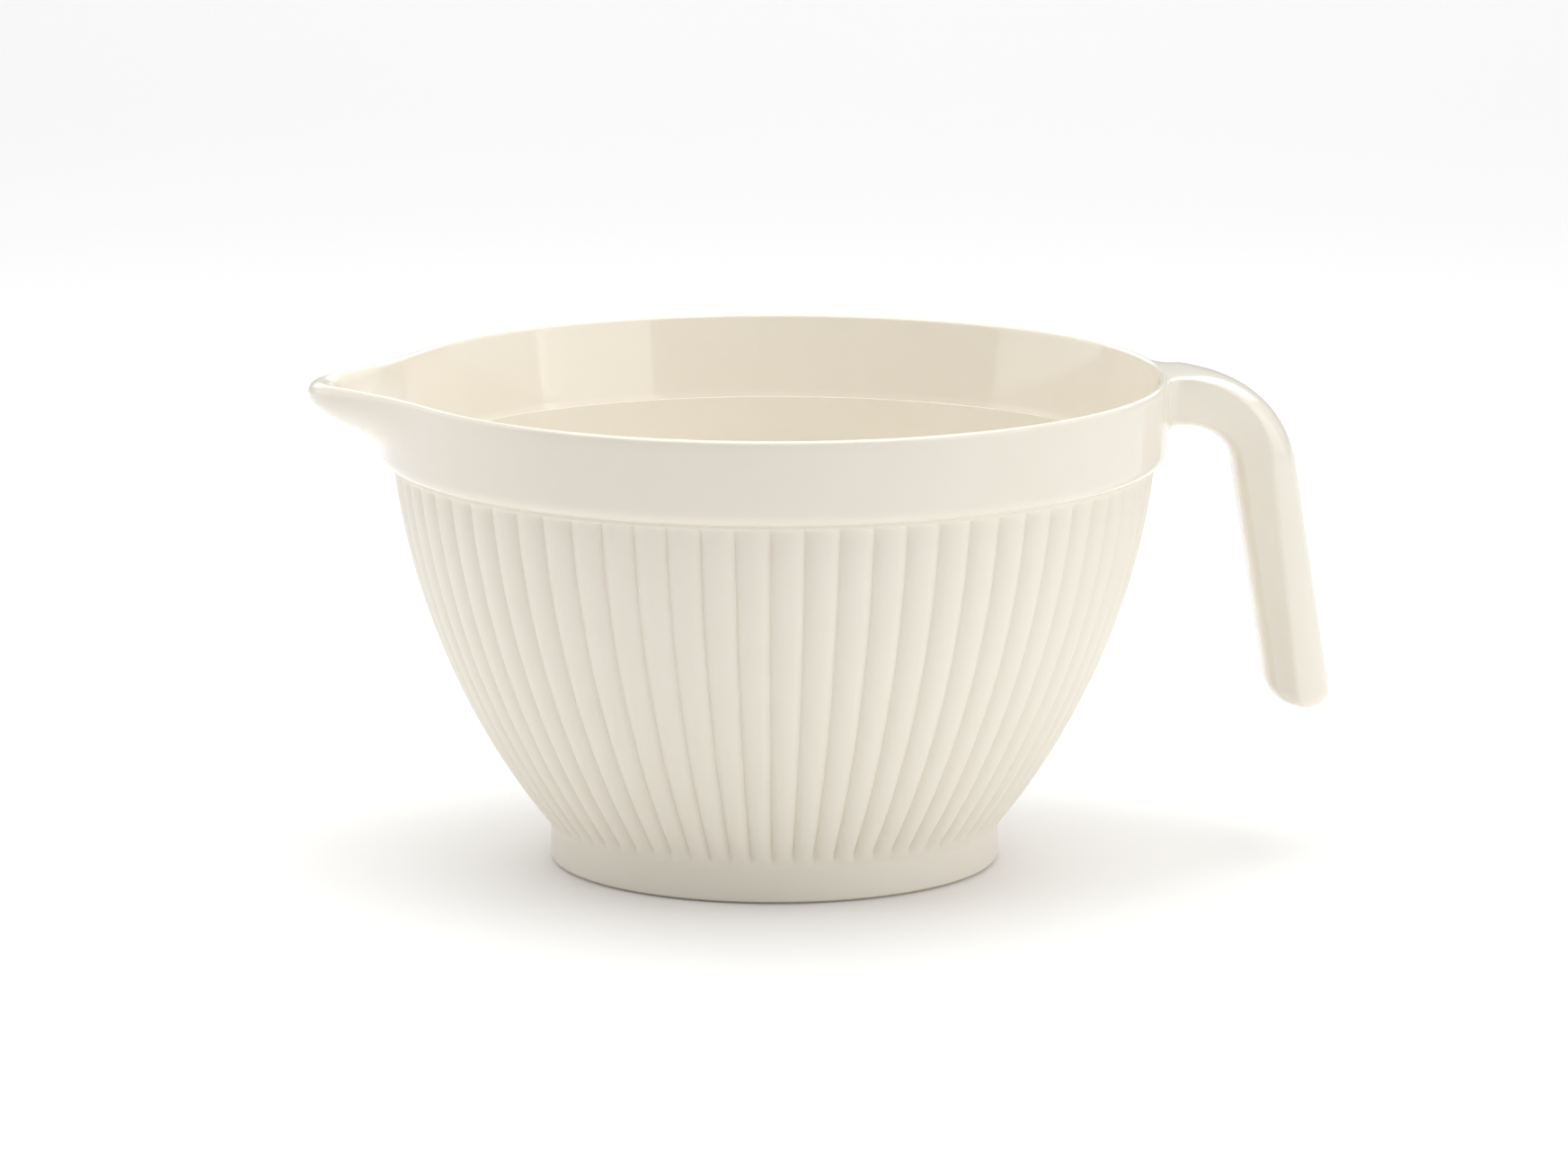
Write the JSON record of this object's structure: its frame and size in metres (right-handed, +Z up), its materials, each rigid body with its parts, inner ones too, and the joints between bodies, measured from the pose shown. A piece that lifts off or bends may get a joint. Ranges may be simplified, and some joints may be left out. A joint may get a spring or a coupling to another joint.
{
  "type": "mixing bowl",
  "caption": "Round footed mixing bowl with a plain collar, a reeded wall, a pouring spout and a hooked handle opposite the spout.",
  "frame": {"origin": "on the bowl's axis, on the surface the bowl stands on, at the underside of the non-slip ring", "axes": "+Z up along the bowl's axis, +X out along the handle, -X out along the spout, +Y completes the right-handed frame"},
  "size_m": [0.274, 0.21, 0.131],
  "materials": {
    "bowl_shell": "gloss collar and inside, satin reeded wall, cream",
    "handle": "gloss, cream",
    "soft_ring": "matt, soft, pale grey"
  },
  "bodies": {
    "root": {"bowl": "bowl_shell", "handle": "handle", "non_slip_ring": "soft_ring"}
  },
  "joints": []
}
